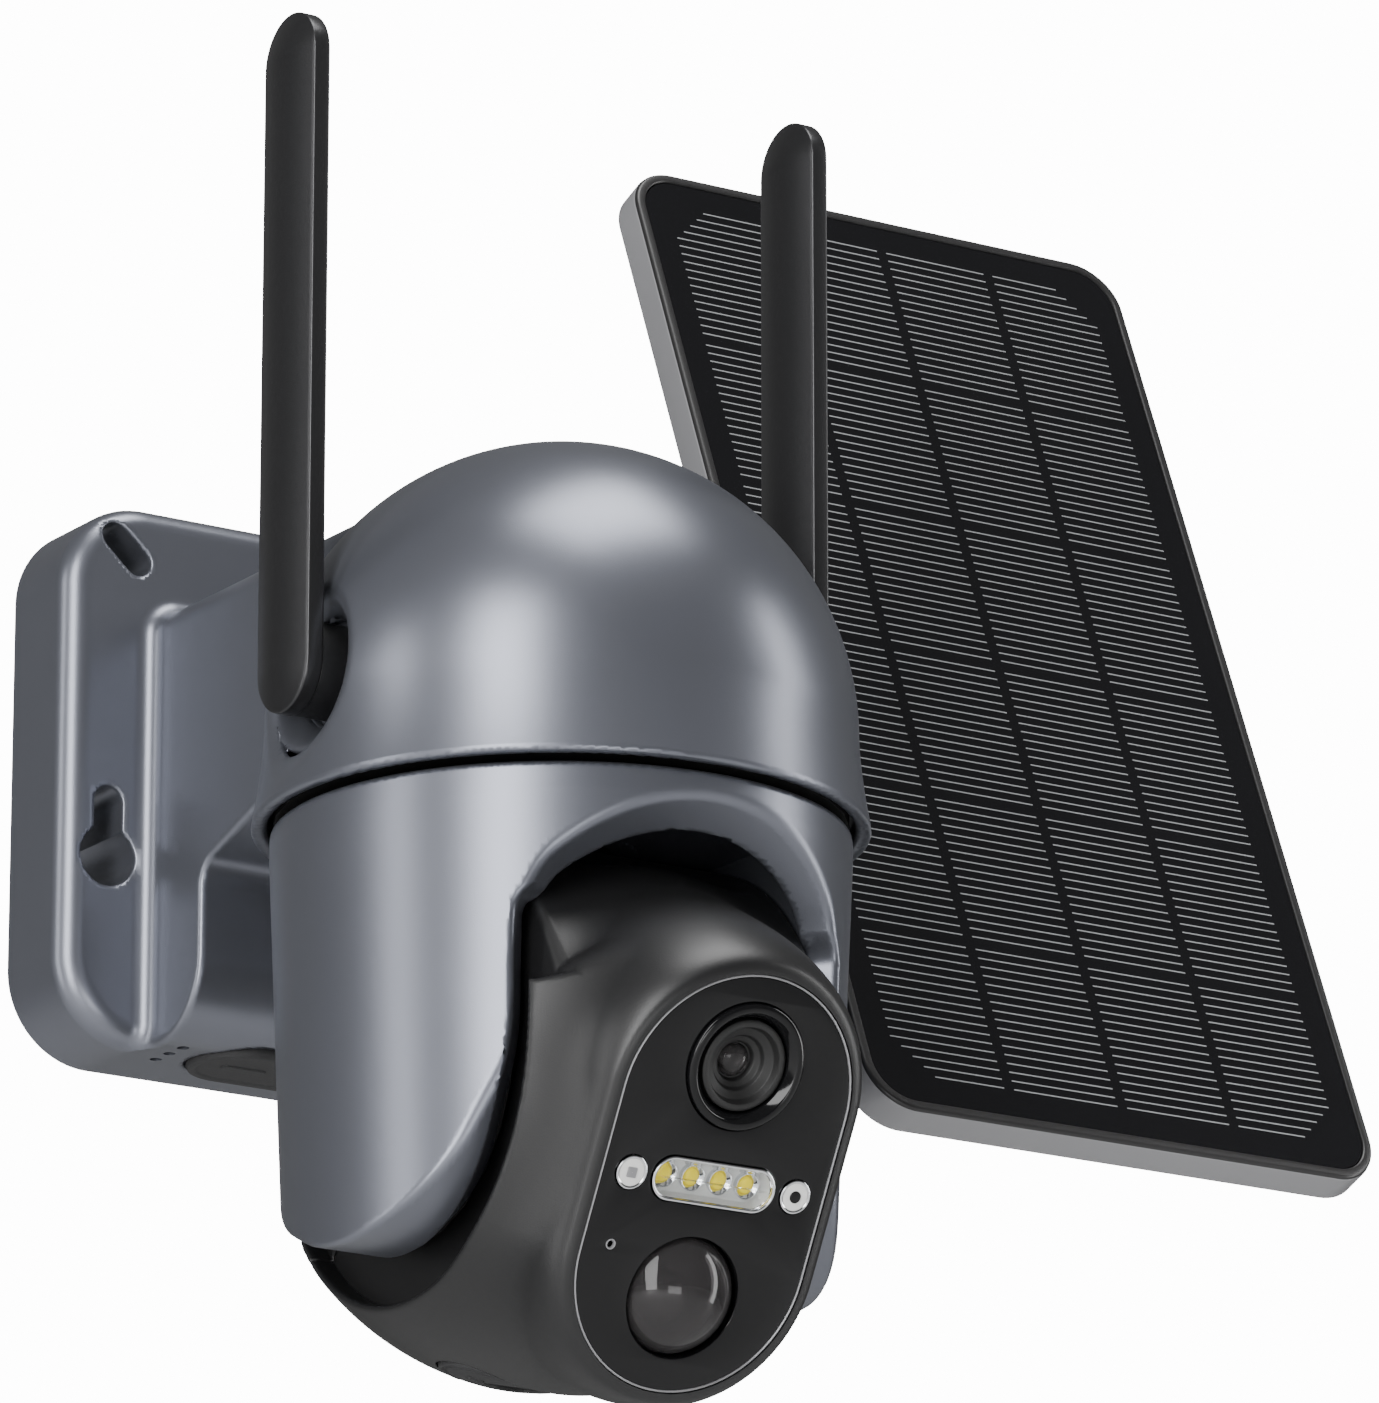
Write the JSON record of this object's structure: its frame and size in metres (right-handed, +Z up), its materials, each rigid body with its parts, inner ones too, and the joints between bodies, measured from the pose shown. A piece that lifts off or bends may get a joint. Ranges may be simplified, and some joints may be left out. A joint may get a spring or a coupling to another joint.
{
  "type": "solar security camera",
  "caption": "Wall-mounted pan and tilt security camera with a domed body, folding antennas, forked head carrier and a separate solar panel on a wall bracket.",
  "frame": {"origin": "centre of the wall base's back face, on the wall plane", "axes": "+Y into the wall, so the camera looks out along -Y; +Z up; +X to the solar panel's side"},
  "size_m": [0.2131, 0.1559, 0.2424],
  "materials": {
    "housing_grey": "satin slate-grey moulding with a slight metallic sheen",
    "antenna_charcoal": "satin charcoal moulding",
    "black_plastic": "satin black moulding",
    "gloss_black": "polished black",
    "soft_rubber": "dull black rubber",
    "steel": "plain turned or pressed steel",
    "brass": "cut brass",
    "white_plastic": "unpainted white acetal",
    "circuit_board": "green lacquer",
    "cell_wrap": "shrink wrap",
    "lamp_yellow": "yellow phosphor",
    "clear_window": "clear moulded window",
    "smoked_glass": "smoked, polished",
    "solar_face": "dark cells under a clear laminate"
  },
  "bodies": {
    "base": {"wall_base": "housing_grey", "base_back_cover": "black_plastic", "cover_screw_1": "steel", "cover_screw_2": "steel", "battery_cell_1": "cell_wrap", "battery_cell_2": "cell_wrap", "battery_holder": "black_plastic", "main_board": "circuit_board", "usb_inlet": "steel", "speaker": "steel", "dome_shell": "housing_grey", "dome_floor": "black_plastic", "pan_bearing": "steel", "pan_motor": "steel", "panel_foot": "black_plastic"},
    "port_cover": {"port_cover": "soft_rubber"},
    "power_button": {"power_button": "soft_rubber"},
    "antenna_left": {"antenna_left": "antenna_charcoal", "antenna_stub_left": "black_plastic"},
    "antenna_right": {"antenna_right": "antenna_charcoal", "antenna_stub_right": "black_plastic"},
    "pan_pinion": {"pan_pinion": "brass"},
    "yoke": {"yoke_shell": "housing_grey", "pan_gear": "white_plastic", "arm_cover_left": "black_plastic", "arm_cover_right": "black_plastic", "tilt_bush_left": "white_plastic", "tilt_bush_right": "white_plastic", "tilt_motor": "steel"},
    "tilt_pinion": {"tilt_pinion": "brass"},
    "head": {"head_front_shell": "black_plastic", "head_rear_shell": "black_plastic", "tilt_axle_left": "steel", "tilt_axle_right": "steel", "tilt_gear": "white_plastic", "face_panel": "gloss_black", "lens_ring": "gloss_black", "lens_barrel": "black_plastic", "lens_glass": "smoked_glass", "sensor_board": "circuit_board", "lamp_board": "circuit_board", "lamp_led_1": "lamp_yellow", "lamp_led_2": "lamp_yellow", "lamp_led_3": "lamp_yellow", "lamp_led_4": "lamp_yellow", "lamp_window": "clear_window", "infrared_window": "white_plastic", "light_sensor_window": "white_plastic", "motion_sensor_dome": "smoked_glass", "motion_sensor": "steel"},
    "card_flap": {"card_slot_flap": "soft_rubber"},
    "reset_button": {"reset_button": "soft_rubber"},
    "panel_swivel": {"panel_swivel": "black_plastic", "swivel_pin": "steel", "tilt_bolt": "steel"},
    "clamp_knob": {"clamp_knob": "black_plastic"},
    "panel": {"panel_frame": "antenna_charcoal", "solar_laminate": "solar_face", "panel_back_cover": "black_plastic", "cable_gland": "soft_rubber"}
  },
  "joints": [
    {"name": "pan_turn", "type": "hinge", "parent": "base", "child": "yoke", "pos_m": [0, -0.096, -0.024], "axis": [0, 0, 1], "range_deg": [-177.5, 177.5]},
    {"name": "pan_pinion_turn", "type": "hinge", "parent": "base", "child": "pan_pinion", "pos_m": [0, -0.1224, -0.0144], "axis": [0, 0, 1], "range_deg": [-570, 570]},
    {"name": "tilt_turn", "type": "hinge", "parent": "yoke", "child": "head", "pos_m": [0, -0.096, -0.0655], "axis": [1, 0, 0], "range_deg": [-15, 60]},
    {"name": "tilt_pinion_turn", "type": "hinge", "parent": "yoke", "child": "tilt_pinion", "pos_m": [-0.0312, -0.096, -0.04938], "axis": [1, 0, 0], "range_deg": [-185, 50]},
    {"name": "antenna_left_turn", "type": "hinge", "parent": "base", "child": "antenna_left", "pos_m": [-0.0473, -0.0916, -0.0026], "axis": [1, 0, 0], "range_deg": [-50, 10]},
    {"name": "antenna_right_turn", "type": "hinge", "parent": "base", "child": "antenna_right", "pos_m": [0.0473, -0.0916, -0.0026], "axis": [1, 0, 0], "range_deg": [-50, 10]},
    {"name": "port_cover_open", "type": "hinge", "parent": "base", "child": "port_cover", "pos_m": [0, -0.0075, -0.046], "axis": [1, 0, 0], "range_deg": [0, 95]},
    {"name": "power_button_press", "type": "slide", "parent": "base", "child": "power_button", "axis": [0, 0, 1], "range_m": [0, 0.0008], "stiffness_N_per_m": 300, "springref_m": -0.0005},
    {"name": "card_flap_open", "type": "hinge", "parent": "head", "child": "card_flap", "pos_m": [0, -0.08207, -0.11118], "axis": [1, 0, 0], "range_deg": [0, 80]},
    {"name": "reset_button_press", "type": "slide", "parent": "head", "child": "reset_button", "axis": [0, -0.165, 0.9863], "range_m": [0, 0.0006], "stiffness_N_per_m": 300, "springref_m": -0.0005},
    {"name": "panel_swivel_turn", "type": "hinge", "parent": "base", "child": "panel_swivel", "pos_m": [0.1118, -0.026, 0.027], "axis": [0, 0, 1], "range_deg": [-12, 12]},
    {"name": "panel_tilt_turn", "type": "hinge", "parent": "panel_swivel", "child": "panel", "pos_m": [0.1118, -0.0438, 0.027], "axis": [1, 0, 0], "range_deg": [-4, 22]},
    {"name": "clamp_knob_turn", "type": "hinge", "parent": "panel_swivel", "child": "clamp_knob", "pos_m": [0.1118, -0.0438, 0.027], "axis": [1, 0, 0], "range_deg": [-180, 0]}
  ],
  "couplings": [
    {"joint": "pan_pinion_turn", "follows": "pan_turn", "ratio": -3.2},
    {"joint": "tilt_pinion_turn", "follows": "tilt_turn", "ratio": -3}
  ]
}
